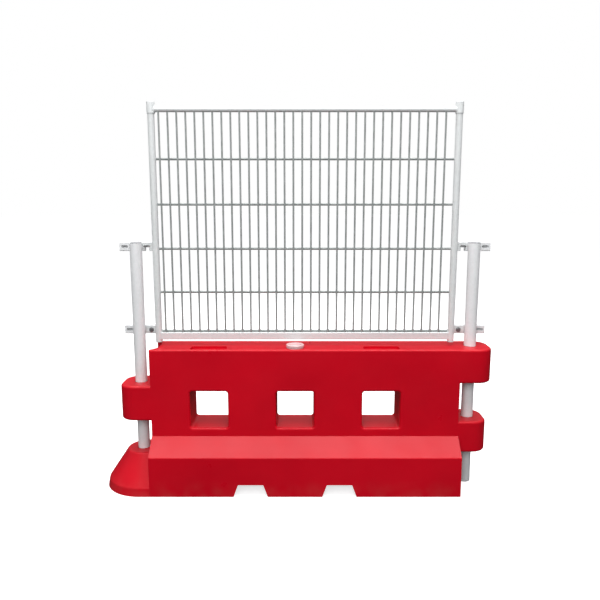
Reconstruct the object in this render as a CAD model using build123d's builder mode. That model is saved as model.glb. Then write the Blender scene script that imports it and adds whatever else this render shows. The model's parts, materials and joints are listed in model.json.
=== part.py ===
"""Water-filled traffic barrier with a mesh fence held by two link posts.

Frame: millimetres, +Z up, +X along the barrier, -Y the front.
Origin: on the ground, midway between the two link posts, on the centre plane.
"""

import os

from build123d import *

os.makedirs("parts", exist_ok=True)

# ---------------------------------------------------------------- driving sizes
POST_PITCH = 1700.0  # distance between link posts, and so the length of one barrier in a line
POST_X = POST_PITCH / 2
POST_RADIUS = 30.15  # 60.3 mm tube
POST_WALL = 3.2
POST_TOP = 1261.0  # its plug ends level with the top of the upper arms
POST_PLUG_FLANGE = 3.0
POST_PLUG_DEPTH = 22.0
POST_FOOT_Z = POST_PLUG_FLANGE  # the tube stands on its foot plug, and that on the ground
PLUG_SKIRT_WALL = 3.0
BORE_RADIUS = 33.0  # hole in each lug that the post drops through

SHELL_WALL = 7.0
TOP_ROUNDING = 9.0
LUG_ROUNDING = 12.0
WINDOW_ROUNDING = 12.0
LEDGE_ROUNDING = 7.0
HORN_ROUNDING = 4.0
NOSE_TOP_ROUNDING = 12.0
NOSE_BAND_ROUNDING = 14.0
BODY_TOP = 735.0
BODY_HALF_THICKNESS = 104.0
BODY_END = 782.0

BASE_HALF_WIDTH = 200.0
BASE_TOP_HALF_WIDTH = 197.0
LEDGE_FOOT_Z = 203.0  # top of the upright base face
LEDGE_HEAD_Z = 283.0  # where the sloping ledge meets the upper body

LUG_ROOT_X = 640.0  # each lug starts this far out, well inside the body
LUG_CORNER = 72.0
RECESS_CORNER = 88.0
LINK_CLEARANCE = 8.0  # between one barrier's lugs and its neighbour's recesses
NOSE_CLEARANCE = 6.0  # between one barrier's nose and the hollow that takes it
# each lug: underside, top, and reach from the post axis to its tip
RIGHT_TOP_LUG = (560.0, BODY_TOP, 98.0)
RIGHT_LOW_LUG = (195.0, 359.0, 84.0)
LEFT_MID_LUG = (364.0, 546.0, 94.0)

NOSE_TOP_Z = 188.0
NOSE_BAND_Z = 40.0  # upright band round the foot of the nose
NOSE_TOP_RADIUS = 92.0
NOSE_BAND_RADIUS = 192.0
NOSE_FOOT_RADIUS = 200.0
NOSE_SETBACK = 12.0  # the nose is centred this far inboard of the post axis

MIDDLE_X = -50.0  # the windows, tunnels, grips and filler are set out about this line
WINDOW_PITCH = 437.0
WINDOW_WIDTH = 192.0
WINDOW_SILL_Z = 326.0
WINDOW_HEAD_Z = 518.0
WINDOW_CORNER = 14.0
FORK_PITCH = 446.0
FORK_FOOT_WIDTH = 172.0
FORK_SIDE_ANGLE = 70.0
FORK_HEIGHT = 62.0
GRIP_LENGTH = 182.0
GRIP_WIDTH = 68.0
GRIP_DEPTH = 12.0
GRIP_CORNER = 16.0
GRIP_Y = -57.0

FILLER_Y = -50.0  # in front of the fence, so that the cap opens with the fence in place
NECK_FLANGE_RADIUS = 43.0
NECK_FLANGE_THICKNESS = 3.0
NECK_RADIUS = 38.0
NECK_BORE_RADIUS = 33.0
NECK_DEPTH = 26.0
NECK_CHAMFER = 1.0
CAP_RADIUS = 45.0
CAP_HEIGHT = 12.0
CAP_TOP_THICKNESS = 4.0
CAP_PLUG_DEPTH = 12.0
CAP_PLUG_WALL = 4.0
CAP_SEAL_THICKNESS = 2.0
CAP_SEAL_WIDTH = 8.0
CAP_RIM_ROUNDING = 3.0
CAP_FLUTE_COUNT = 36
CAP_FLUTE_RADIUS = 2.2
CAP_FLUTE_SET_OUT = 0.8  # flute centres lie this far outside the cap's rim
CAP_BAR_LENGTH = 66.0
CAP_BAR_WIDTH = 13.0
CAP_BAR_CORNER = 6.0
CAP_BAR_HEIGHT = 5.0
CAP_BAR_ROUNDING = 2.0

DRAIN_X = 500.0
DRAIN_Z = 62.0
DRAIN_BUSH_RADIUS = 32.0
DRAIN_BUSH_DEPTH = 24.0
DRAIN_BORE_RADIUS = 22.0
DRAIN_FLANGE_RADIUS = 34.0
DRAIN_FLANGE_THICKNESS = 7.0
DRAIN_FLANGE_ROUNDING = 2.0
DRAIN_SEAL_THICKNESS = 2.5
DRAIN_SEAL_RADIUS = 30.0
DRAIN_SPIGOT = 14.0
DRAIN_KEY_SIZE = 20.0
DRAIN_KEY_CORNER = 3.0
DRAIN_KEY_REACH = 14.0
DRAIN_KEY_CHAMFER = 2.0
DRAIN_SEAT_Y = BASE_HALF_WIDTH + 2.0  # outer face of the bush in the back of the foot

FENCE_Y = 12.0  # the fence stands a little behind the posts, clear of the filler cap
STILE_X = 752.0
STILE_RADIUS = 16.85
STILE_WALL = 2.6
STILE_FOOT_Z = 753.0
STILE_TOP_Z = 1942.0
STILE_PLUG_FLANGE = 3.0
STILE_PLUG_DEPTH = 16.0
COLLAR_RADIUS = 19.8
COLLAR_HEIGHT = 52.0
COLLAR_CHAMFER = 1.0
TOP_RAIL_Z = 1909.0
TOP_RAIL_RADIUS = 13.45
BOTTOM_RAIL_Z = 783.0
BOTTOM_RAIL_HEIGHT = 38.0
BOTTOM_RAIL_DEPTH = 25.0
BOTTOM_RAIL_CORNER = 4.0
RAIL_WALL = 2.3

UPRIGHT_RADIUS = 4.5
CROSS_WIRE_RADIUS = 6.0
UPRIGHT_COUNT = 33
UPRIGHT_PITCH = 43.8
UPRIGHT_SHIFT = -14.0  # the mesh sits a little nearer the left stile
CROSS_WIRE_HEIGHTS = (808.0, 1010.0, 1231.0, 1452.0, 1673.0)

ARM_LENGTH = 164.0
ARM_HEIGHT = 46.0
ARM_DEPTH = 28.0
ARM_WALL = 3.0
ARM_CORNER = 5.0
ARM_FRONT_Y = 29.0
UPPER_ARM_Z = 1241.0
LOWER_ARM_Z = 812.0
UPPER_ARM_X = POST_X + 8.0  # the upper arms sit a little further out than the lower ones
LOWER_ARM_X = POST_X
SLOT_OFFSET = 57.0  # middle of an arm to the middle of each slot
SLOT_LENGTH = 34.0
SLOT_WIDTH = 13.0
HOOK_WIDTH = 23.0

EAR_FRONT_Y = 24.0
EAR_THICKNESS = ARM_FRONT_Y - EAR_FRONT_Y
EAR_REACH = 72.0  # stile axis to the outer edge of the ear
EAR_HEIGHT = 42.0

BOLT_RADIUS = 6.0
BOLT_HOLE_RADIUS = 6.75
HEX_FLATS = 19.0
HEAD_THICKNESS = 7.5
NUT_THICKNESS = 10.8
WASHER_RADIUS = 12.0
WASHER_HOLE_RADIUS = 6.5
WASHER_THICKNESS = 2.5
BOLT_TAIL = 6.0  # thread showing past the nut
BOLT_CHAMFER = 1.0

FIT = 0.25  # clearance on a radius where one piece turns or slides in another
PICK = 1.0  # half-width of the band of space in which edges are picked out for rounding


def finish(builder, name):
    """Label a finished piece and write its STEP file."""
    builder.part.label = name
    export_step(builder.part, f"parts/{name}.step")


# ---------------------------------------------------------------- barrier shell
def lug(side, low, high, reach, inset):
    """One lug with its post bore, from well inside the body to its rounded tip."""
    tip_x = POST_X + reach - inset
    outer_end = -1 if side > 0 else 0
    with BuildPart() as block:
        with BuildSketch(Plane.XY.offset(low + inset)) as plan:
            with Locations((side * (LUG_ROOT_X + tip_x) / 2, 0)):
                Rectangle(tip_x - LUG_ROOT_X, 2 * (BODY_HALF_THICKNESS - inset))
            fillet(plan.vertices().group_by(Axis.X)[outer_end], LUG_CORNER - inset)
        extrude(amount=high - low - 2 * inset)
        if inset == 0:
            by_height = block.faces().sort_by(Axis.Z)
            rims = by_height[0].edges() + by_height[-1].edges()
            hidden_end = rims.group_by(Axis.X)[-1 - outer_end]
            fillet([edge for edge in rims if edge not in hidden_end], LUG_ROUNDING)
        with Locations((side * POST_X, 0, (low + high) / 2)):
            Cylinder(BORE_RADIUS + inset, high - low, mode=Mode.SUBTRACT)
    return block.part


def link_recess(side, floor_z, inset):
    """Hollow in a body end, from `floor_z` up, that clears the neighbour's lugs."""
    floor_x = POST_X - RIGHT_TOP_LUG[2] - LINK_CLEARANCE - inset
    far_x = POST_X + BASE_HALF_WIDTH
    half_width = BODY_HALF_THICKNESS + LINK_CLEARANCE + inset
    inner_end = 0 if side > 0 else -1
    with BuildPart() as recess:
        with BuildSketch(Plane.XY.offset(floor_z - inset)) as plan:
            with Locations((side * (floor_x + far_x) / 2, 0)):
                Rectangle(far_x - floor_x, 2 * half_width)
            fillet(plan.vertices().group_by(Axis.X)[inner_end], RECESS_CORNER + inset)
        extrude(amount=BODY_TOP)
    return recess.part


def nose_form(centre_x, grow, floor_z, bridge):
    """The tapered nose about `centre_x`, grown all round, with a straight run `bridge` long towards +X."""
    top_z = NOSE_TOP_Z + grow
    outline = (
        (NOSE_FOOT_RADIUS + grow, floor_z),
        (NOSE_BAND_RADIUS + grow, NOSE_BAND_Z),
        (NOSE_TOP_RADIUS + grow, top_z),
    )
    with BuildPart() as nose:
        with BuildSketch(Plane(origin=(centre_x, 0, 0), x_dir=(1, 0, 0), z_dir=(0, -1, 0))):
            with BuildLine():
                Polyline((0, floor_z), *outline, (0, top_z), close=True)
            make_face()
        revolve(axis=Axis((centre_x, 0, 0), (0, 0, 1)))
        if bridge > 0:
            with BuildSketch(Plane.YZ.offset(centre_x)):
                with BuildLine():
                    Polyline(*outline, *[(-y, z) for y, z in reversed(outline)], close=True)
                make_face()
            extrude(amount=bridge)
    return nose


def rounded_nose(centre_x, bridge):
    """The nose as moulded, with its top rim and band edge rounded."""
    nose = nose_form(centre_x, 0, 0, bridge)
    with nose:
        top_rim = nose.faces().sort_by(Axis.Z)[-1].outer_wire().edges()
        fillet(top_rim - top_rim.group_by(Axis.X)[-1], NOSE_TOP_ROUNDING)
        band = nose.edges().filter_by_position(Axis.Z, NOSE_BAND_Z - PICK, NOSE_BAND_Z + PICK)
        fillet(band - band.group_by(Axis.X)[-1], NOSE_BAND_ROUNDING)
    return nose


def window_openings(inset):
    """Prisms of the three see-through windows."""
    with BuildPart() as openings:
        with BuildSketch(Plane.XZ):
            with Locations((MIDDLE_X, (WINDOW_SILL_Z + WINDOW_HEAD_Z) / 2)):
                with GridLocations(WINDOW_PITCH, 0, 3, 1):
                    RectangleRounded(
                        WINDOW_WIDTH + 2 * inset,
                        WINDOW_HEAD_Z - WINDOW_SILL_Z + 2 * inset,
                        WINDOW_CORNER + inset,
                    )
        extrude(amount=BASE_HALF_WIDTH, both=True)
    return openings.part


def fork_tunnels(inset):
    """Prisms of the two forklift and drainage tunnels through the foot."""
    with BuildPart() as tunnels:
        with BuildSketch(Plane.XZ):
            with Locations((MIDDLE_X, 0)):
                with GridLocations(FORK_PITCH, 0, 2, 1):
                    Trapezoid(
                        FORK_FOOT_WIDTH + 2 * inset,
                        FORK_HEIGHT + inset,
                        FORK_SIDE_ANGLE,
                        align=(Align.CENTER, Align.MIN),
                    )
        extrude(amount=2 * BASE_HALF_WIDTH, both=True)
    return tunnels.part


def grip_hollows(inset):
    """Prisms of the two hand grips let into the top above the outer windows."""
    with BuildPart() as grips:
        with BuildSketch(Plane.XY.offset(BODY_TOP)):
            with Locations((MIDDLE_X, GRIP_Y)):
                with GridLocations(2 * WINDOW_PITCH, 0, 2, 1):
                    RectangleRounded(GRIP_LENGTH + 2 * inset, GRIP_WIDTH + 2 * inset, GRIP_CORNER)
        extrude(amount=-(GRIP_DEPTH + inset))
    return grips.part


def barrier_form(inset):
    """The barrier's outer form, or, with an inset, the hollow that lies inside it."""
    base = BASE_HALF_WIDTH - inset
    base_top = BASE_TOP_HALF_WIDTH - inset
    upper = BODY_HALF_THICKNESS - inset
    floor_z = inset
    roof_z = BODY_TOP - inset
    ledge_drop = inset / 2  # keeps the sloping wall as thick as the upright ones
    nose_x = -(POST_X - NOSE_SETBACK)
    nose_bridge = -nose_x - BODY_END + 2 * SHELL_WALL
    lugs = [
        lug(1, *RIGHT_TOP_LUG, inset),
        lug(1, *RIGHT_LOW_LUG, inset),
        lug(-1, *LEFT_MID_LUG, inset),
    ]
    if inset == 0:
        nose = rounded_nose(nose_x, nose_bridge)
    else:
        nose = nose_form(nose_x, -inset, floor_z, nose_bridge)
    nose_hollow = nose_form(POST_X + NOSE_SETBACK, NOSE_CLEARANCE + inset, 0, 0)
    left_recess = link_recess(-1, NOSE_TOP_Z, inset)
    right_recess = link_recess(1, RIGHT_LOW_LUG[0] + 2 * LUG_ROUNDING, inset)
    windows = window_openings(inset)
    tunnels = fork_tunnels(inset)
    grips = grip_hollows(inset)

    with BuildPart() as form:
        with BuildSketch(Plane.YZ):
            with BuildLine():
                Polyline(
                    (-base, floor_z),
                    (-base_top, LEDGE_FOOT_Z - ledge_drop),
                    (-upper, LEDGE_HEAD_Z - ledge_drop),
                    (-upper, roof_z),
                    (upper, roof_z),
                    (upper, LEDGE_HEAD_Z - ledge_drop),
                    (base_top, LEDGE_FOOT_Z - ledge_drop),
                    (base, floor_z),
                    close=True,
                )
            make_face()
        extrude(amount=BODY_END - inset, both=True)
        if inset == 0:
            along = form.edges().filter_by(Axis.X)
            fillet(along.group_by(Axis.Z)[-1], TOP_ROUNDING)
            along = form.edges().filter_by(Axis.X)
            ledge_feet = along.filter_by_position(Axis.Z, LEDGE_FOOT_Z - PICK, LEDGE_FOOT_Z + PICK)
            fillet(ledge_feet, LEDGE_ROUNDING)
        add([left_recess, right_recess], mode=Mode.SUBTRACT)
        if inset == 0:
            uprights = form.edges().filter_by(Axis.Z)
            ends = uprights.filter_by_position(Axis.Z, LEDGE_HEAD_Z, BODY_TOP)
            fillet(ends.group_by(Axis.X)[0] + ends.group_by(Axis.X)[-1], HORN_ROUNDING)
        add(lugs)
        add(nose.part)
        with Locations((-POST_X, 0, 0)):
            Cylinder(
                BORE_RADIUS + inset,
                NOSE_TOP_Z,
                align=(Align.CENTER, Align.CENTER, Align.MIN),
                mode=Mode.SUBTRACT,
            )
        add(nose_hollow.part, mode=Mode.SUBTRACT)
        add(windows, mode=Mode.SUBTRACT)
        if inset == 0:
            reach_x = 1.5 * WINDOW_PITCH
            rims = form.edges().filter_by_position(Axis.Z, WINDOW_SILL_Z - PICK, WINDOW_HEAD_Z + PICK)
            rims = rims.filter_by_position(Axis.X, MIDDLE_X - reach_x, MIDDLE_X + reach_x)
            for face_y in (-BODY_HALF_THICKNESS, BODY_HALF_THICKNESS):
                face_rims = rims.filter_by_position(Axis.Y, face_y - PICK, face_y + PICK)
                fillet(face_rims, WINDOW_ROUNDING)
        add(tunnels, mode=Mode.SUBTRACT)
        add(grips, mode=Mode.SUBTRACT)
    return form.part


def drain_axis_plane(y):
    """Plane at `y` looking out of the back of the foot, centred on the drain."""
    return Plane(origin=(DRAIN_X, y, DRAIN_Z), x_dir=(1, 0, 0), z_dir=(0, 1, 0))


FILLER_PLACE = (MIDDLE_X, FILLER_Y)
shell_outside = barrier_form(0)
shell_hollow = barrier_form(SHELL_WALL)

with BuildPart() as barrier_body:
    add(shell_outside)
    add(shell_hollow, mode=Mode.SUBTRACT)
    with BuildSketch(Plane.XY.offset(BODY_TOP)):
        with Locations(FILLER_PLACE):
            Circle(NECK_RADIUS)
    extrude(amount=-2 * SHELL_WALL, mode=Mode.SUBTRACT)
    with BuildSketch(drain_axis_plane(DRAIN_SEAT_Y)):
        Circle(DRAIN_BUSH_RADIUS)
    extrude(amount=-DRAIN_BUSH_DEPTH, mode=Mode.SUBTRACT)
finish(barrier_body, "barrier_body")


# ---------------------------------------------------------------- filler neck and cap
with BuildPart() as filler_neck:
    with BuildSketch(Plane.XY.offset(BODY_TOP)):
        with Locations(FILLER_PLACE):
            Circle(NECK_FLANGE_RADIUS)
    extrude(amount=NECK_FLANGE_THICKNESS)
    with BuildSketch(Plane.XY.offset(BODY_TOP)):
        with Locations(FILLER_PLACE):
            Circle(NECK_RADIUS)
    extrude(amount=-NECK_DEPTH)
    with BuildSketch(Plane.XY.offset(BODY_TOP + NECK_FLANGE_THICKNESS)):
        with Locations(FILLER_PLACE):
            Circle(NECK_BORE_RADIUS)
    extrude(amount=-(NECK_FLANGE_THICKNESS + NECK_DEPTH), mode=Mode.SUBTRACT)
    outer_rim = filler_neck.edges().group_by(Axis.Z)[-1].sort_by(SortBy.RADIUS)[-1]
    chamfer(outer_rim, NECK_CHAMFER)
finish(filler_neck, "filler_neck")

SEAL_FOOT_Z = BODY_TOP + NECK_FLANGE_THICKNESS
with BuildPart() as filler_cap_seal:
    with BuildSketch(Plane.XY.offset(SEAL_FOOT_Z)):
        with Locations(FILLER_PLACE):
            Circle(NECK_BORE_RADIUS + CAP_SEAL_WIDTH)
            Circle(NECK_BORE_RADIUS + FIT, mode=Mode.SUBTRACT)
    extrude(amount=CAP_SEAL_THICKNESS)
finish(filler_cap_seal, "filler_cap_seal")

CAP_FOOT_Z = SEAL_FOOT_Z + CAP_SEAL_THICKNESS
with BuildPart() as filler_cap:
    with BuildSketch(Plane.XY.offset(CAP_FOOT_Z)):
        with Locations(FILLER_PLACE):
            Circle(CAP_RADIUS)
    extrude(amount=CAP_HEIGHT)
    fillet(filler_cap.edges().group_by(Axis.Z)[-1], CAP_RIM_ROUNDING)
    # grip flutes round the rim
    with BuildSketch(Plane.XY.offset(CAP_FOOT_Z)):
        with Locations(FILLER_PLACE):
            with PolarLocations(CAP_RADIUS + CAP_FLUTE_SET_OUT, CAP_FLUTE_COUNT):
                Circle(CAP_FLUTE_RADIUS)
    extrude(amount=CAP_HEIGHT - CAP_TOP_THICKNESS, mode=Mode.SUBTRACT)
    # plug that enters the neck, hollow from below, and the raised bar to turn it by
    with BuildSketch(Plane.XY.offset(CAP_FOOT_Z)):
        with Locations(FILLER_PLACE):
            Circle(NECK_BORE_RADIUS - FIT)
    extrude(amount=-CAP_PLUG_DEPTH)
    with BuildSketch(Plane.XY.offset(CAP_FOOT_Z - CAP_PLUG_DEPTH)):
        with Locations(FILLER_PLACE):
            Circle(NECK_BORE_RADIUS - CAP_PLUG_WALL)
    extrude(amount=CAP_PLUG_DEPTH + CAP_HEIGHT - CAP_TOP_THICKNESS, mode=Mode.SUBTRACT)
    with BuildSketch(Plane.XY.offset(CAP_FOOT_Z + CAP_HEIGHT)):
        with Locations(FILLER_PLACE):
            RectangleRounded(CAP_BAR_LENGTH, CAP_BAR_WIDTH, CAP_BAR_CORNER)
    extrude(amount=CAP_BAR_HEIGHT)
    fillet(filler_cap.edges().group_by(Axis.Z)[-1], CAP_BAR_ROUNDING)
finish(filler_cap, "filler_cap")


# ---------------------------------------------------------------- drain bush and plug
with BuildPart() as drain_bush:
    with BuildSketch(drain_axis_plane(DRAIN_SEAT_Y)):
        Circle(DRAIN_BUSH_RADIUS)
    extrude(amount=-DRAIN_BUSH_DEPTH)
    with BuildSketch(drain_axis_plane(DRAIN_SEAT_Y)):
        Circle(DRAIN_BORE_RADIUS)
    extrude(amount=-DRAIN_BUSH_DEPTH, mode=Mode.SUBTRACT)
finish(drain_bush, "drain_bush")

with BuildPart() as drain_plug_seal:
    with BuildSketch(drain_axis_plane(DRAIN_SEAT_Y)):
        Circle(DRAIN_SEAL_RADIUS)
        Circle(DRAIN_BORE_RADIUS + FIT, mode=Mode.SUBTRACT)
    extrude(amount=DRAIN_SEAL_THICKNESS)
finish(drain_plug_seal, "drain_plug_seal")

with BuildPart() as drain_plug:
    flange_y = DRAIN_SEAT_Y + DRAIN_SEAL_THICKNESS
    with BuildSketch(drain_axis_plane(flange_y)):
        Circle(DRAIN_FLANGE_RADIUS)
    extrude(amount=DRAIN_FLANGE_THICKNESS)
    fillet(drain_plug.edges().group_by(Axis.Y)[-1], DRAIN_FLANGE_ROUNDING)
    with BuildSketch(drain_axis_plane(flange_y + DRAIN_FLANGE_THICKNESS)):
        RectangleRounded(DRAIN_KEY_SIZE, DRAIN_KEY_SIZE, DRAIN_KEY_CORNER)
    extrude(amount=DRAIN_KEY_REACH)
    chamfer(drain_plug.edges().group_by(Axis.Y)[-1], DRAIN_KEY_CHAMFER)
    with BuildSketch(drain_axis_plane(flange_y)):
        Circle(DRAIN_BORE_RADIUS - FIT)
    extrude(amount=-DRAIN_SPIGOT)
finish(drain_plug, "drain_plug")


# ---------------------------------------------------------------- link posts
def tube(x, y, low, high, radius, wall):
    """An upright round tube."""
    with BuildPart() as piece:
        with BuildSketch(Plane.XY.offset(low)):
            with Locations((x, y)):
                Circle(radius)
                Circle(radius - wall, mode=Mode.SUBTRACT)
        extrude(amount=high - low)
    return piece


def tube_plug(x, y, end_z, outward, radius, bore_radius, flange, depth):
    """A moulded plug for an upright tube's end: `outward` is +1 on top and -1 below."""
    with BuildPart() as piece:
        with BuildSketch(Plane.XY.offset(end_z)):
            with Locations((x, y)):
                Circle(radius)
        extrude(amount=outward * flange)
        rim = piece.edges().sort_by(Axis.Z)[-1 if outward > 0 else 0]
        chamfer(rim, flange / 3)
        with BuildSketch(Plane.XY.offset(end_z)):
            with Locations((x, y)):
                Circle(bore_radius)
                Circle(bore_radius - PLUG_SKIRT_WALL, mode=Mode.SUBTRACT)
        extrude(amount=-outward * depth)
    return piece


def post_plug(side, end_z, outward):
    """One end plug of a link post."""
    bore_radius = POST_RADIUS - POST_WALL
    place = (side * POST_X, 0, end_z, outward)
    return tube_plug(*place, POST_RADIUS, bore_radius, POST_PLUG_FLANGE, POST_PLUG_DEPTH)


def cross_arm(side, centre_x, arm_z, hooked):
    """Rectangular tube across the back of a post, with a slot in its front wall either side of it.

    Where `hooked`, the slot on the fence's side is opened downwards by a throat through both walls.
    """
    with BuildPart() as arm:
        with BuildSketch(Plane.YZ.offset(side * centre_x)):
            with Locations((ARM_FRONT_Y + ARM_DEPTH / 2, arm_z)):
                RectangleRounded(ARM_DEPTH, ARM_HEIGHT, ARM_CORNER)
                RectangleRounded(
                    ARM_DEPTH - 2 * ARM_WALL,
                    ARM_HEIGHT - 2 * ARM_WALL,
                    ARM_CORNER - ARM_WALL,
                    mode=Mode.SUBTRACT,
                )
        extrude(amount=ARM_LENGTH / 2, both=True)
        with Locations((side * POST_X, 0, arm_z)):
            Cylinder(POST_RADIUS, 2 * ARM_HEIGHT, mode=Mode.SUBTRACT)
        with BuildSketch(Plane.XZ.offset(-ARM_FRONT_Y)):
            with Locations((side * centre_x, arm_z)):
                with GridLocations(2 * SLOT_OFFSET, 0, 2, 1):
                    SlotOverall(SLOT_LENGTH, SLOT_WIDTH)
        extrude(amount=-ARM_WALL, mode=Mode.SUBTRACT)
        if hooked:
            with BuildSketch(Plane.XZ.offset(-ARM_FRONT_Y)):
                with Locations((side * (centre_x - SLOT_OFFSET), arm_z - ARM_HEIGHT / 2)):
                    Rectangle(HOOK_WIDTH, ARM_HEIGHT - SLOT_WIDTH)
            extrude(amount=-ARM_DEPTH, mode=Mode.SUBTRACT)
    return arm


for side_name, side in (("left", -1), ("right", 1)):
    post = tube(side * POST_X, 0, POST_FOOT_Z, POST_TOP, POST_RADIUS, POST_WALL)
    finish(post, f"link_post_{side_name}")
    finish(post_plug(side, POST_TOP, 1), f"post_top_plug_{side_name}")
    finish(post_plug(side, POST_FOOT_Z, -1), f"post_foot_plug_{side_name}")
    finish(cross_arm(side, UPPER_ARM_X, UPPER_ARM_Z, hooked=True), f"upper_cross_arm_{side_name}")
    finish(cross_arm(side, LOWER_ARM_X, LOWER_ARM_Z, hooked=False), f"lower_cross_arm_{side_name}")


# ---------------------------------------------------------------- fence panel
def stile_foot_plug(side):
    """Plug in the foot of a fence stile."""
    bore_radius = STILE_RADIUS - STILE_WALL
    place = (side * STILE_X, FENCE_Y, STILE_FOOT_Z, -1)
    return tube_plug(*place, STILE_RADIUS, bore_radius, STILE_PLUG_FLANGE, STILE_PLUG_DEPTH)


def stile_collar(side):
    """Closed sleeve over the stile's head that takes the end of the top rail."""
    with BuildPart() as collar:
        with BuildSketch(Plane.XY.offset(STILE_TOP_Z - COLLAR_HEIGHT)):
            with Locations((side * STILE_X, FENCE_Y)):
                Circle(COLLAR_RADIUS)
        extrude(amount=COLLAR_HEIGHT + STILE_WALL)
        chamfer(collar.edges().group_by(Axis.Z)[-1], COLLAR_CHAMFER)
        with BuildSketch(Plane.XY.offset(STILE_TOP_Z - COLLAR_HEIGHT)):
            with Locations((side * STILE_X, FENCE_Y)):
                Circle(STILE_RADIUS)
        extrude(amount=COLLAR_HEIGHT, mode=Mode.SUBTRACT)
    return collar


def cope(builder, z, end_radius):
    """Cut a rail's ends to the round uprights that it is welded to."""
    with builder:
        with Locations((-STILE_X, FENCE_Y, z), (STILE_X, FENCE_Y, z)):
            Cylinder(end_radius, 2 * BOTTOM_RAIL_HEIGHT, mode=Mode.SUBTRACT)


def fence_ear(side, hole_x, z, hooked):
    """Flat ear welded to the stile, lying on the front of the cross arm.

    It has a bolt hole, or, where `hooked`, the same slot and throat as the arm behind it.
    """
    with BuildPart() as ear:
        with BuildSketch(Plane.XZ.offset(-EAR_FRONT_Y)):
            with Locations((side * (STILE_X + EAR_REACH / 2), z)):
                Rectangle(EAR_REACH, EAR_HEIGHT)
            if hooked:
                with Locations((side * hole_x, z)):
                    SlotOverall(SLOT_LENGTH, SLOT_WIDTH, mode=Mode.SUBTRACT)
                with Locations((side * hole_x, z - EAR_HEIGHT / 2)):
                    Rectangle(HOOK_WIDTH, EAR_HEIGHT, mode=Mode.SUBTRACT)
            else:
                with Locations((side * hole_x, z)):
                    Circle(BOLT_HOLE_RADIUS, mode=Mode.SUBTRACT)
        extrude(amount=-EAR_THICKNESS)
        with Locations((side * STILE_X, FENCE_Y, z)):
            Cylinder(STILE_RADIUS, 2 * EAR_HEIGHT, mode=Mode.SUBTRACT)
    return ear


HOOK_X = UPPER_ARM_X - SLOT_OFFSET
BOLT_X = LOWER_ARM_X - SLOT_OFFSET
for side_name, side in (("left", -1), ("right", 1)):
    stile = tube(side * STILE_X, FENCE_Y, STILE_FOOT_Z, STILE_TOP_Z, STILE_RADIUS, STILE_WALL)
    finish(stile, f"fence_stile_{side_name}")
    finish(stile_collar(side), f"stile_collar_{side_name}")
    finish(stile_foot_plug(side), f"stile_foot_plug_{side_name}")
    finish(fence_ear(side, HOOK_X, UPPER_ARM_Z, hooked=True), f"upper_fence_ear_{side_name}")
    finish(fence_ear(side, BOLT_X, LOWER_ARM_Z, hooked=False), f"lower_fence_ear_{side_name}")

with BuildPart() as fence_top_rail:
    with BuildSketch(Plane.YZ):
        with Locations((FENCE_Y, TOP_RAIL_Z)):
            Circle(TOP_RAIL_RADIUS)
            Circle(TOP_RAIL_RADIUS - RAIL_WALL, mode=Mode.SUBTRACT)
    extrude(amount=STILE_X, both=True)
cope(fence_top_rail, TOP_RAIL_Z, COLLAR_RADIUS)
finish(fence_top_rail, "fence_top_rail")

with BuildPart() as fence_bottom_rail:
    with BuildSketch(Plane.YZ):
        with Locations((FENCE_Y, BOTTOM_RAIL_Z)):
            RectangleRounded(BOTTOM_RAIL_DEPTH, BOTTOM_RAIL_HEIGHT, BOTTOM_RAIL_CORNER)
            RectangleRounded(
                BOTTOM_RAIL_DEPTH - 2 * RAIL_WALL,
                BOTTOM_RAIL_HEIGHT - 2 * RAIL_WALL,
                BOTTOM_RAIL_CORNER - RAIL_WALL,
                mode=Mode.SUBTRACT,
            )
    extrude(amount=STILE_X, both=True)
cope(fence_bottom_rail, BOTTOM_RAIL_Z, STILE_RADIUS)
finish(fence_bottom_rail, "fence_bottom_rail")

# The uprights stand in front of the cross wires and touch them where they are welded.
UPRIGHT_Y = FENCE_Y - UPRIGHT_RADIUS
CROSS_WIRE_Y = FENCE_Y + CROSS_WIRE_RADIUS
BOTTOM_RAIL_TOP_Z = BOTTOM_RAIL_Z + BOTTOM_RAIL_HEIGHT / 2

with BuildPart() as fence_upright_wires:
    with BuildSketch(Plane.XY.offset(BOTTOM_RAIL_TOP_Z)):
        with Locations((UPRIGHT_SHIFT, UPRIGHT_Y)):
            with GridLocations(UPRIGHT_PITCH, 0, UPRIGHT_COUNT, 1):
                Circle(UPRIGHT_RADIUS)
    extrude(amount=TOP_RAIL_Z - BOTTOM_RAIL_TOP_Z)
    with Locations((0, FENCE_Y, TOP_RAIL_Z)):
        Cylinder(TOP_RAIL_RADIUS, 2 * STILE_X, rotation=(0, 90, 0), mode=Mode.SUBTRACT)
finish(fence_upright_wires, "fence_upright_wires")

with BuildPart() as fence_cross_wires:
    with BuildSketch(Plane.YZ):
        for wire_z in CROSS_WIRE_HEIGHTS:
            with Locations((CROSS_WIRE_Y, wire_z)):
                Circle(CROSS_WIRE_RADIUS)
    extrude(amount=STILE_X, both=True)
    with Locations((-STILE_X, FENCE_Y, 0), (STILE_X, FENCE_Y, 0)):
        Cylinder(STILE_RADIUS, 2 * STILE_TOP_Z, mode=Mode.SUBTRACT)
finish(fence_cross_wires, "fence_cross_wires")


# ---------------------------------------------------------------- bolts that join ears and arms
HEAD_SEAT_Y = EAR_FRONT_Y - WASHER_THICKNESS
NUT_SEAT_Y = ARM_FRONT_Y + ARM_WALL + WASHER_THICKNESS  # the nut sits inside the arm
BOLT_END_Y = NUT_SEAT_Y + NUT_THICKNESS + BOLT_TAIL
HEX_CORNER_RADIUS = HEX_FLATS / 3**0.5

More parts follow.
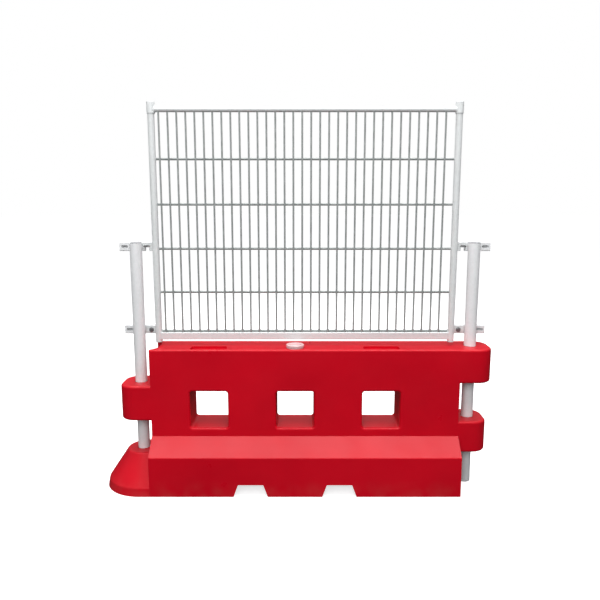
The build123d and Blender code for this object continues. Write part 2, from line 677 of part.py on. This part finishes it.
with BuildPart() as fence_bolts:
    with BuildSketch(Plane.XZ.offset(-HEAD_SEAT_Y)):
        with Locations((-BOLT_X, LOWER_ARM_Z), (BOLT_X, LOWER_ARM_Z)):
            RegularPolygon(HEX_CORNER_RADIUS, 6)
    extrude(amount=HEAD_THICKNESS)
    chamfer(fence_bolts.edges().group_by(Axis.Y)[0], BOLT_CHAMFER)
    with BuildSketch(Plane.XZ.offset(-HEAD_SEAT_Y)):
        with Locations((-BOLT_X, LOWER_ARM_Z), (BOLT_X, LOWER_ARM_Z)):
            Circle(BOLT_RADIUS)
    extrude(amount=-(BOLT_END_Y - HEAD_SEAT_Y))
    chamfer(fence_bolts.edges().group_by(Axis.Y)[-1], BOLT_CHAMFER)
finish(fence_bolts, "fence_bolts")

with BuildPart() as fence_nuts:
    with BuildSketch(Plane.XZ.offset(-NUT_SEAT_Y)):
        with Locations((-BOLT_X, LOWER_ARM_Z), (BOLT_X, LOWER_ARM_Z)):
            RegularPolygon(HEX_CORNER_RADIUS, 6)
            Circle(BOLT_RADIUS, mode=Mode.SUBTRACT)
    extrude(amount=-NUT_THICKNESS)
finish(fence_nuts, "fence_nuts")

with BuildPart() as fence_washers:
    for seat_y in (EAR_FRONT_Y, NUT_SEAT_Y):
        with BuildSketch(Plane.XZ.offset(-seat_y)):
            with Locations((-BOLT_X, LOWER_ARM_Z), (BOLT_X, LOWER_ARM_Z)):
                Circle(WASHER_RADIUS)
                Circle(WASHER_HOLE_RADIUS, mode=Mode.SUBTRACT)
        extrude(amount=WASHER_THICKNESS)
finish(fence_washers, "fence_washers")
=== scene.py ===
"""Looks of a water-filled barrier with a mesh fence: materials, welds, floor, light and camera.

Lengths are in metres, +Z up, +X along the barrier, -Y its front.
"""

import json
import math
import random

import bmesh
import bpy
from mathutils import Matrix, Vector


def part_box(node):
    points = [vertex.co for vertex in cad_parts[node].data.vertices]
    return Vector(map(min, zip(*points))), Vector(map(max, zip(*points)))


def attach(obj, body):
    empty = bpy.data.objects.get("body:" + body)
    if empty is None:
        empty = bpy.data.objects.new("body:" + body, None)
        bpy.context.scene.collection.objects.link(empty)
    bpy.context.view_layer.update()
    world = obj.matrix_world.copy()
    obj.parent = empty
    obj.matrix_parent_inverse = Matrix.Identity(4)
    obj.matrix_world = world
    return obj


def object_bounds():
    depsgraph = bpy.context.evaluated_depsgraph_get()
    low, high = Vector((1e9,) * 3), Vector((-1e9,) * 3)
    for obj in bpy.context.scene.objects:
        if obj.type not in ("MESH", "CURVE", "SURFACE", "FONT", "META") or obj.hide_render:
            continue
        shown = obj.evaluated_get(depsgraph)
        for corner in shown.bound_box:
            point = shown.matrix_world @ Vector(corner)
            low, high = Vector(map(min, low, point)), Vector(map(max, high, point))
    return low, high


MM = 0.001
SIDES = (("left", -1), ("right", 1))

# ---------------------------------------------------------------- colours, linear
RED_DEEP = (0.48, 0.0012, 0.010)
RED_BODY = (0.56, 0.0018, 0.012)
RED_SCUFF = (0.74, 0.12, 0.13)
NATURAL_PLASTIC = (0.70, 0.48, 0.49)
NATURAL_SHADE = (0.58, 0.37, 0.38)
POST_LIGHT = (0.80, 0.81, 0.82)
POST_DARK = (0.70, 0.72, 0.72)
FENCE_LIGHT = (0.70, 0.72, 0.72)
FENCE_DARK = (0.60, 0.62, 0.62)
WIRE_LIGHT = (0.36, 0.38, 0.375)
WIRE_DARK = (0.24, 0.26, 0.255)
PLUG_GREY = (0.27, 0.28, 0.29)
BLACK_PLASTIC = (0.022, 0.022, 0.024)
BLACK_RUBBER = (0.014, 0.014, 0.014)
BOLT_LIGHT = (0.34, 0.34, 0.35)
BOLT_DARK = (0.15, 0.15, 0.155)
WELD_GREY = (0.52, 0.53, 0.54)
# A dusty colour; in the red shell it also serves as painted shade near the ground.
DUST_AND_SHADE = (0.30, 0.20, 0.17)

# ---------------------------------------------------------------- camera, light and floor
CAMERA_PLACE = (-0.0251, -3.0665, 1.4737)
CAMERA_PITCH = math.radians(9.31)
CAMERA_LENS = 36.6
SENSOR_WIDTH = 36.0
FLOOR_RADIUS = 60.0
FLOOR_SIDES = 96
FLOOR_GREY = (0.70, 0.70, 0.70)  # what the camera sees
FLOOR_MIRRORED = (0.02, 0.02, 0.02)
FLOOR_BOUNCE = (0.07, 0.07, 0.07)
NO_GLOW = (0.0, 0.0, 0.0)
WORLD_SEEN = (1.0, 1.0, 1.0)
WORLD_FELT = (0.45, 0.45, 0.46)
WORLD_DARKEST = 0.06  # in glossy surfaces, near the horizon
WORLD_BRIGHTEST = 1.1  # in glossy surfaces, overhead
DARK_BELOW = math.radians(10.0)
BRIGHT_ABOVE = math.radians(70.0)
LIGHT_AIM = Vector((0.0, 0.0, 0.6))

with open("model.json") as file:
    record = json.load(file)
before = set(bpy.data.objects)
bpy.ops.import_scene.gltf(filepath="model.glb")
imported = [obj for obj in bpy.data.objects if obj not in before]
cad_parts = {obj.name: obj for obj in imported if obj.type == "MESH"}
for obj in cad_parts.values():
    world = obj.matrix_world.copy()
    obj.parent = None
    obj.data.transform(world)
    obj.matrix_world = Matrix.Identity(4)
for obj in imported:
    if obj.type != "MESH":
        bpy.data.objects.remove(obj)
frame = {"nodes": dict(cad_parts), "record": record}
cad_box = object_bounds()
nodes = frame["nodes"]


# ---------------------------------------------------------------- materials
class Finish:
    """A principled material that is built up node by node, on object coordinates."""

    def __init__(self, name, metallic=0.0, specular=0.5):
        self.material = bpy.data.materials.new(name)
        self.material.use_nodes = True
        self.tree = self.material.node_tree
        self.surface = self.tree.nodes["Principled BSDF"]
        self.surface.inputs["Metallic"].default_value = metallic
        self.surface.inputs["Specular IOR Level"].default_value = specular
        self.place = self.tree.nodes.new("ShaderNodeTexCoord").outputs["Object"]

    def link(self, source, socket):
        """Feed a socket from another socket, or set it to a plain value."""
        if isinstance(source, bpy.types.NodeSocket):
            self.tree.links.new(source, socket)
        elif isinstance(source, tuple):
            socket.default_value = (*source, 1.0)
        else:
            socket.default_value = source

    def stretched(self, scale):
        """Object coordinates stretched by three factors."""
        mapping = self.tree.nodes.new("ShaderNodeMapping")
        mapping.inputs["Scale"].default_value = scale
        self.link(self.place, mapping.inputs["Vector"])
        return mapping.outputs["Vector"]

    def noise(self, scale, detail=3.0, roughness=0.55, place=None):
        """Fractal noise, from 0 to 1, with `scale` features to the metre."""
        texture = self.tree.nodes.new("ShaderNodeTexNoise")
        self.link(place or self.place, texture.inputs["Vector"])
        texture.inputs["Scale"].default_value = scale
        texture.inputs["Detail"].default_value = detail
        texture.inputs["Roughness"].default_value = roughness
        return texture.outputs["Fac"]

    def cells(self, scale):
        """Patches of even value, such as zinc spangle."""
        texture = self.tree.nodes.new("ShaderNodeTexVoronoi")
        self.link(self.place, texture.inputs["Vector"])
        texture.inputs["Scale"].default_value = scale
        split = self.tree.nodes.new("ShaderNodeSeparateColor")
        self.link(texture.outputs["Color"], split.inputs["Color"])
        return split.outputs["Red"]

    def height(self):
        """Height above the ground."""
        split = self.tree.nodes.new("ShaderNodeSeparateXYZ")
        self.link(self.place, split.inputs["Vector"])
        return split.outputs["Z"]

    def edges(self, radius):
        """About 1 on sharp edges and 0 on flat faces."""
        rounded = self.tree.nodes.new("ShaderNodeBevel")
        rounded.samples = 4
        rounded.inputs["Radius"].default_value = radius
        plain = self.tree.nodes.new("ShaderNodeNewGeometry")
        dot = self.tree.nodes.new("ShaderNodeVectorMath")
        dot.operation = "DOT_PRODUCT"
        self.link(rounded.outputs["Normal"], dot.inputs[0])
        self.link(plain.outputs["Normal"], dot.inputs[1])
        return self.spread(dot.outputs["Value"], 1.0, 0.75)

    def spread(self, source, start, end, low=0.0, high=1.0):
        """Values from start to end become low to high, and stay there beyond."""
        spread = self.tree.nodes.new("ShaderNodeMapRange")
        self.link(source, spread.inputs["Value"])
        spread.inputs["From Min"].default_value = start
        spread.inputs["From Max"].default_value = end
        spread.inputs["To Min"].default_value = low
        spread.inputs["To Max"].default_value = high
        return spread.outputs["Result"]

    def times(self, first, second):
        """Product of two values."""
        product = self.tree.nodes.new("ShaderNodeMath")
        product.operation = "MULTIPLY"
        self.link(first, product.inputs[0])
        self.link(second, product.inputs[1])
        return product.outputs["Value"]

    def mix(self, share, first, second):
        """Colour `first` where share is 0 and `second` where it is 1."""
        mix = self.tree.nodes.new("ShaderNodeMix")
        mix.data_type = "RGBA"
        self.link(share, mix.inputs["Factor"])
        self.link(first, mix.inputs["A"])
        self.link(second, mix.inputs["B"])
        return mix.outputs["Result"]

    def bump(self, height, depth, under=None):
        """Surface relief `depth` deep, laid over the relief `under`."""
        bump = self.tree.nodes.new("ShaderNodeBump")
        bump.inputs["Strength"].default_value = 1.0
        bump.inputs["Distance"].default_value = depth
        self.link(height, bump.inputs["Height"])
        if under is not None:
            self.link(under, bump.inputs["Normal"])
        return bump.outputs["Normal"]

    def done(self, colour, roughness, normal):
        """Wire colour, roughness and relief to the surface, and return the material."""
        self.link(colour, self.surface.inputs["Base Color"])
        self.link(roughness, self.surface.inputs["Roughness"])
        self.link(normal, self.surface.inputs["Normal"])
        return self.material


def shell_finish():
    """Rotomoulded red polyethylene: soft waves, fine orange peel, pale scuffs, and painted shade in
    a dusty colour near the ground.
    """
    finish = Finish("red_shell", specular=0.26)
    clouds = finish.spread(finish.noise(2.6, 4.0), 0.3, 0.7)
    colour = finish.mix(clouds, RED_DEEP, RED_BODY)
    speckle = finish.spread(finish.noise(420.0, 2.0), 0.62, 0.80, 0.0, 0.10)
    colour = finish.mix(speckle, colour, RED_SCUFF)
    broken = finish.spread(finish.noise(34.0, 6.0, 0.7), 0.50, 0.66)
    scuffed_edge = finish.times(finish.edges(5 * MM), finish.times(broken, 0.30))
    colour = finish.mix(scuffed_edge, colour, RED_SCUFF)
    # Painted shade: the lowest 9 cm of the shell turn duller and browner in patches, towards the
    # dusty colour.
    foot_shade = finish.spread(finish.height(), 0.09, 0.0)
    patchy = finish.spread(finish.noise(14.0, 5.0), 0.40, 0.75, 0.0, 0.10)
    colour = finish.mix(finish.times(foot_shade, patchy), colour, DUST_AND_SHADE)
    roughness = finish.spread(finish.noise(7.0, 5.0, 0.6), 0.3, 0.7, 0.27, 0.40)
    waves = finish.bump(finish.noise(5.5, 1.0), 1.6 * MM)
    peel = finish.bump(finish.noise(190.0, 2.0), 0.07 * MM, waves)
    return finish.done(colour, roughness, peel)


def natural_plastic_finish(name, grain):
    """Uncoloured moulded polyethylene, slightly waxy."""
    finish = Finish(name)
    clouds = finish.spread(finish.noise(28.0, 4.0), 0.3, 0.7)
    colour = finish.mix(clouds, NATURAL_SHADE, NATURAL_PLASTIC)
    grime = finish.spread(finish.noise(90.0, 5.0, 0.7), 0.58, 0.80, 0.0, 0.35)
    colour = finish.mix(grime, colour, DUST_AND_SHADE)
    finish.surface.inputs["Subsurface Weight"].default_value = 0.12
    finish.surface.inputs["Subsurface Radius"].default_value = (4 * MM, 4 * MM, 3 * MM)
    finish.surface.inputs["Subsurface Scale"].default_value = 1.0
    roughness = finish.spread(finish.noise(60.0), 0.3, 0.7, 0.30, 0.46)
    relief = finish.bump(finish.noise(grain, 2.0), 0.10 * MM)
    return finish.done(colour, roughness, relief)


def dark_plastic_finish(name, colour, grain, roughness_range):
    """Moulded plastic or rubber with a fine grain and dusty patches."""
    finish = Finish(name)
    dusty = finish.spread(finish.noise(45.0, 5.0, 0.65), 0.45, 0.80, 0.0, 0.22)
    shade = finish.mix(dusty, colour, DUST_AND_SHADE)
    worn = finish.times(finish.edges(1.0 * MM), 0.20)
    shade = finish.mix(worn, shade, DUST_AND_SHADE)
    roughness = finish.spread(finish.noise(120.0), 0.3, 0.7, *roughness_range)
    relief = finish.bump(finish.noise(grain, 2.0), 0.10 * MM)
    return finish.done(shade, roughness, relief)


def zinc_paint_finish(name, light, dark, streaks):
    """Pale coated tube: faint spangle, long streaks, painted shade darkening the edges in patches,
    and a fine orange peel.
    """
    finish = Finish(name, metallic=0.10, specular=0.45)
    colour = finish.mix(finish.spread(finish.cells(95.0), 0.0, 1.0, 0.0, 0.35), light, dark)
    runs = finish.noise(11.0, 5.0, 0.65, finish.stretched(streaks))
    colour = finish.mix(finish.spread(runs, 0.50, 0.80, 0.0, 0.55), colour, dark)
    specks = finish.spread(finish.noise(300.0, 3.0), 0.66, 0.80, 0.0, 0.40)
    colour = finish.mix(specks, colour, WIRE_DARK)
    # Painted shade: sharp edges are darkened in broken patches towards the grey of the wires.
    edge_shade = finish.times(finish.edges(2.2 * MM), finish.spread(finish.noise(60.0), 0.35, 0.6))
    colour = finish.mix(finish.times(edge_shade, 0.65), colour, WIRE_LIGHT)
    roughness = finish.spread(finish.noise(40.0, 4.0), 0.3, 0.7, 0.36, 0.52)
    dents = finish.bump(finish.noise(24.0, 1.0), 0.35 * MM)
    peel = finish.bump(finish.noise(520.0, 2.0), 0.05 * MM, dents)
    return finish.done(colour, roughness, peel)


def bare_zinc_finish(name, light, dark, metallic, grain_place):
    """Dull drawn or plated steel with dark patches."""
    finish = Finish(name, metallic=metallic)
    patches = finish.spread(finish.noise(26.0, 5.0, 0.65), 0.32, 0.68)
    colour = finish.mix(patches, dark, light)
    specks = finish.spread(finish.noise(240.0, 3.0), 0.60, 0.75, 0.0, 0.5)
    colour = finish.mix(specks, colour, dark)
    roughness = finish.spread(finish.noise(80.0, 4.0), 0.3, 0.7, 0.40, 0.60)
    grain = finish.noise(160.0, 3.0, 0.6, finish.stretched(grain_place))
    return finish.done(colour, roughness, finish.bump(grain, 0.08 * MM))


ALONG_POST = (1.0, 1.0, 0.08)
ALONG_RAIL = (0.08, 1.0, 1.0)
finishes = {
    "red_shell": shell_finish(),
    "neck_plastic": natural_plastic_finish("neck_plastic", 500.0),
    "cap_plastic": natural_plastic_finish("cap_plastic", 340.0),
    "drain_plastic": dark_plastic_finish("drain_plastic", BLACK_PLASTIC, 420.0, (0.34, 0.50)),
    "seal_rubber": dark_plastic_finish("seal_rubber", BLACK_RUBBER, 700.0, (0.60, 0.78)),
    "post_paint": zinc_paint_finish("post_paint", POST_LIGHT, POST_DARK, ALONG_POST),
    "fence_paint": zinc_paint_finish("fence_paint", FENCE_LIGHT, FENCE_DARK, ALONG_RAIL),
    "wire_zinc": bare_zinc_finish("wire_zinc", WIRE_LIGHT, WIRE_DARK, 0.20, ALONG_POST),
    "bolt_steel": bare_zinc_finish("bolt_steel", BOLT_LIGHT, BOLT_DARK, 0.80, (1.0, 1.0, 1.0)),
    "plug_plastic": dark_plastic_finish("plug_plastic", PLUG_GREY, 480.0, (0.40, 0.56)),
}
weld_finish = zinc_paint_finish("weld_paint", FENCE_LIGHT, WELD_GREY, (1.0, 1.0, 1.0))

for row in frame["record"]["subparts"]:
    mesh = nodes[row["node"]].data
    mesh.materials.clear()
    mesh.materials.append(finishes[row["material_slot"]])


# ---------------------------------------------------------------- soft edges on the CAD pieces
def soften(node_name, width, angle):
    """Join the imported faces along their edges and round the sharp ones."""
    piece = nodes[node_name]
    joined = piece.modifiers.new("join_faces", "WELD")
    joined.merge_threshold = 0.01 * MM
    rounded = piece.modifiers.new("soft_edges", "BEVEL")
    rounded.width = width
    rounded.segments = 2
    rounded.limit_method = "ANGLE"
    rounded.angle_limit = math.radians(angle)
    rounded.use_clamp_overlap = True
    rounded.harden_normals = True


PRESSED_EDGE_ANGLE = 40.0
FASTENER_EDGE_ANGLE = 25.0
SOFT_WIDTHS = {
    "upper_fence_ear": 0.7 * MM,
    "lower_fence_ear": 0.7 * MM,
    "upper_cross_arm": 0.5 * MM,
    "lower_cross_arm": 0.5 * MM,
}
for side_name, _ in SIDES:
    for stem, width in SOFT_WIDTHS.items():
        soften(f"{stem}_{side_name}", width, PRESSED_EDGE_ANGLE)
FASTENER_WIDTHS = {
    "fence_nuts": 0.6 * MM,
    "fence_bolts": 0.3 * MM,
    "fence_washers": 0.3 * MM,
}
for name, width in FASTENER_WIDTHS.items():
    soften(name, width, FASTENER_EDGE_ANGLE)


# ---------------------------------------------------------------- weld beads
BEAD_SIDES = 8
BEAD_END_TAPER = 0.45


def lumpy_bead(mesh, path, radius, step, seed):
    """Add a closed, rippled, half-sunk bead of weld along a path of points to a bmesh."""
    draw = random.Random(seed)
    points = []
    for start, end in zip(path, path[1:]):
        count = max(1, round((end - start).length / step))
        points += [start.lerp(end, i / count) for i in range(count)]
    points.append(path[-1])
    rings = []
    for i, point in enumerate(points):
        along = (points[min(i + 1, len(points) - 1)] - points[max(i - 1, 0)]).normalized()
        across = along.orthogonal().normalized()
        other = along.cross(across)
        taper = BEAD_END_TAPER if i in (0, len(points) - 1) else 1.0
        ripple = radius * taper * (1.0 + 0.16 * (i % 2) + draw.uniform(-0.08, 0.08))
        ring = []
        for k in range(BEAD_SIDES):
            turn = 2 * math.pi * k / BEAD_SIDES
            ring.append(
                mesh.verts.new(point + ripple * (math.cos(turn) * across + math.sin(turn) * other))
            )
        rings.append(ring)
    for first, second in zip(rings, rings[1:]):
        nearest = min(range(BEAD_SIDES), key=lambda k: (second[k].co - first[0].co).length)
        second[:] = second[nearest:] + second[:nearest]
        for k in range(BEAD_SIDES):
            after = (k + 1) % BEAD_SIDES
            mesh.faces.new((first[k], first[after], second[after], second[k]))
    mesh.faces.new(list(reversed(rings[0])))
    mesh.faces.new(rings[-1])


def welded(name, paths, radius, step, body="fence_and_posts"):
    """One object made of weld beads along several paths."""
    mesh = bmesh.new()
    for seed, path in enumerate(paths):
        lumpy_bead(mesh, path, radius, step, seed)
    bmesh.ops.recalc_face_normals(mesh, faces=mesh.faces)
    data = bpy.data.meshes.new(name)
    mesh.to_mesh(data)
    mesh.free()
    data.shade_smooth()
    data.materials.append(weld_finish)
    piece = bpy.data.objects.new(name, data)
    bpy.context.scene.collection.objects.link(piece)
    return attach(piece, body)


def middle(node_name):
    """Centre of a CAD node's box."""
    low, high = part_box(node_name)
    return (low + high) / 2


def reach(node_name):
    """Size of a CAD node's box."""
    low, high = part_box(node_name)
    return high - low


stile_radius = reach("fence_stile_right").x / 2
stile_x = middle("fence_stile_right").x
fence_y = middle("fence_stile_right").y
post_radius = reach("link_post_right").x / 2
post_x = middle("link_post_right").x
collar_radius = reach("stile_collar_right").x / 2
BEAD = 2.2 * MM
RAIL_BEAD = 1.8 * MM
BEAD_STEP = 2.6 * MM
RAIL_BEAD_STEPS = 48  # points round a rail's end

# arms: a bead down each side of the post, where the arm's front wall meets it
arm_paths = []
for side_name, side in SIDES:
    for level in ("upper", "lower"):
        low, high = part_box(f"{level}_cross_arm_{side_name}")
        half_gap = math.sqrt(post_radius**2 - low.y**2)
        for turn in (-1, 1):
            bead_x = side * post_x + turn * (half_gap + 1.5 * MM)
            bead_y = low.y - 0.3 * MM
            arm_paths.append(
                [Vector((bead_x, bead_y, low.z + 2 * MM)), Vector((bead_x, bead_y, high.z - 2 * MM))]
            )
welded("arm_welds", arm_paths, BEAD, BEAD_STEP)

# ears: a bead down the front of each ear, beside the stile
ear_paths = []
for side_name, side in SIDES:
    for level in ("upper", "lower"):
        low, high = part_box(f"{level}_fence_ear_{side_name}")
        half_gap = math.sqrt(stile_radius**2 - (low.y - fence_y) ** 2)
        bead_x = side * (stile_x + half_gap + 0.8 * MM)
        bead_y = low.y + 0.2 * MM
        ear_paths.append(
            [Vector((bead_x, bead_y, low.z + 1 * MM)), Vector((bead_x, bead_y, high.z - 1 * MM))]
        )
welded("ear_welds", ear_paths, BEAD, BEAD_STEP)


def rail_end_path(side, rail_name, end_radius, round_section):
    """Closed path round a rail's end, where it meets an upright of the given radius."""
    centre, half = middle(rail_name), reach(rail_name) / 2
    path = []
    for i in range(RAIL_BEAD_STEPS + 1):
        turn = 2 * math.pi * i / RAIL_BEAD_STEPS
        across, up = math.cos(turn), math.sin(turn)
        if not round_section:
            stretch = 1 / max(abs(across), abs(up))
            across, up = across * stretch, up * stretch
        y = across * half.y
        x = side * (stile_x - math.sqrt(max(end_radius**2 - y**2, 0.0)) - 0.5 * MM)
        path.append(Vector((x, fence_y + y, centre.z + up * half.z)))
    return path


rail_paths = []
for _, side in SIDES:
    rail_paths.append(rail_end_path(side, "fence_bottom_rail", stile_radius, False))
    rail_paths.append(rail_end_path(side, "fence_top_rail", collar_radius, True))
welded("rail_welds", rail_paths, RAIL_BEAD, BEAD_STEP)


# ---------------------------------------------------------------- stage
def softbox(name, place, size, power, mirrored=False):
    """A large rectangular light aimed at the barrier, seen in glossy surfaces if `mirrored`."""
    light = bpy.data.lights.new(name, "AREA")
    light.shape = "RECTANGLE"
    light.size, light.size_y = size
    light.energy = power
    lamp = bpy.data.objects.new(name, light)
    lamp.location = place
    lamp.rotation_mode = "QUATERNION"
    lamp.rotation_quaternion = (LIGHT_AIM - Vector(place)).to_track_quat("-Z", "Y")
    lamp.visible_glossy = mirrored
    bpy.context.scene.collection.objects.link(lamp)


def by_ray(tree, seen, mirrored, felt):
    """Colour `seen` by the camera, `mirrored` in glossy surfaces and `felt` by everything else."""
    rays = tree.nodes.new("ShaderNodeLightPath")
    colour = felt
    for ray, other in (("Is Glossy Ray", mirrored), ("Is Camera Ray", seen)):
        switch = tree.nodes.new("ShaderNodeMix")
        switch.data_type = "RGBA"
        tree.links.new(rays.outputs[ray], switch.inputs["Factor"])
        for source, socket in ((colour, switch.inputs["A"]), (other, switch.inputs["B"])):
            if isinstance(source, tuple):
                socket.default_value = (*source, 1.0)
            else:
                tree.links.new(source, socket)
        colour = switch.outputs["Result"]
    return colour


def make_floor():
    """A wide pale disc that runs out to the horizon."""
    mesh = bmesh.new()
    bmesh.ops.create_circle(mesh, cap_ends=True, segments=FLOOR_SIDES, radius=FLOOR_RADIUS)
    data = bpy.data.meshes.new("studio_floor")
    mesh.to_mesh(data)
    mesh.free()
    floor = bpy.data.objects.new("studio_floor", data)
    floor.location.z = cad_box[0].z - 0.5 * MM
    bpy.context.scene.collection.objects.link(floor)
    finish = Finish("studio_floor", specular=0.0)
    glow = by_ray(finish.tree, FLOOR_GREY, NO_GLOW, NO_GLOW)
    finish.link(glow, finish.surface.inputs["Emission Color"])
    finish.surface.inputs["Emission Strength"].default_value = 1.0
    colour = by_ray(finish.tree, FLOOR_GREY, FLOOR_MIRRORED, FLOOR_BOUNCE)
    relief = finish.bump(finish.noise(3.0, 2.0), 0.2 * MM)
    data.materials.append(finish.done(colour, 0.9, relief))


def make_world():
    """White to the camera; dark near the horizon and bright overhead in glossy surfaces."""
    world = bpy.data.worlds.new("studio")
    world.use_nodes = True
    tree = world.node_tree
    direction = tree.nodes.new("ShaderNodeTexCoord").outputs["Generated"]
    split = tree.nodes.new("ShaderNodeSeparateXYZ")
    tree.links.new(direction, split.inputs["Vector"])
    climb = tree.nodes.new("ShaderNodeMapRange")
    tree.links.new(split.outputs["Z"], climb.inputs["Value"])
    climb.inputs["From Min"].default_value = math.sin(DARK_BELOW)
    climb.inputs["From Max"].default_value = math.sin(BRIGHT_ABOVE)
    climb.inputs["To Min"].default_value = WORLD_DARKEST
    climb.inputs["To Max"].default_value = WORLD_BRIGHTEST
    sky = by_ray(tree, WORLD_SEEN, climb.outputs["Result"], WORLD_FELT)
    tree.links.new(sky, tree.nodes["Background"].inputs["Color"])
    bpy.context.scene.world = world


def make_camera():
    """The viewer stands in front, looking slightly down."""
    lens = bpy.data.cameras.new("viewer")
    lens.lens = CAMERA_LENS
    lens.sensor_width = SENSOR_WIDTH
    lens.clip_start = 0.05
    lens.clip_end = 200.0
    camera = bpy.data.objects.new("viewer", lens)
    camera.location = CAMERA_PLACE
    camera.rotation_euler = (math.pi / 2 - CAMERA_PITCH, 0.0, 0.0)
    bpy.context.scene.collection.objects.link(camera)
    bpy.context.scene.camera = camera


make_floor()
make_world()
make_camera()
softbox("overhead", (0.0, -0.4, 4.4), (5.0, 3.6), 245.0, mirrored=True)
softbox("front_fill", (-0.5, -5.0, 3.4), (4.0, 3.0), 185.0)
softbox("back_fill", (0.5, 5.0, 3.2), (4.0, 3.0), 150.0)
bpy.context.scene.view_settings.view_transform = "Standard"
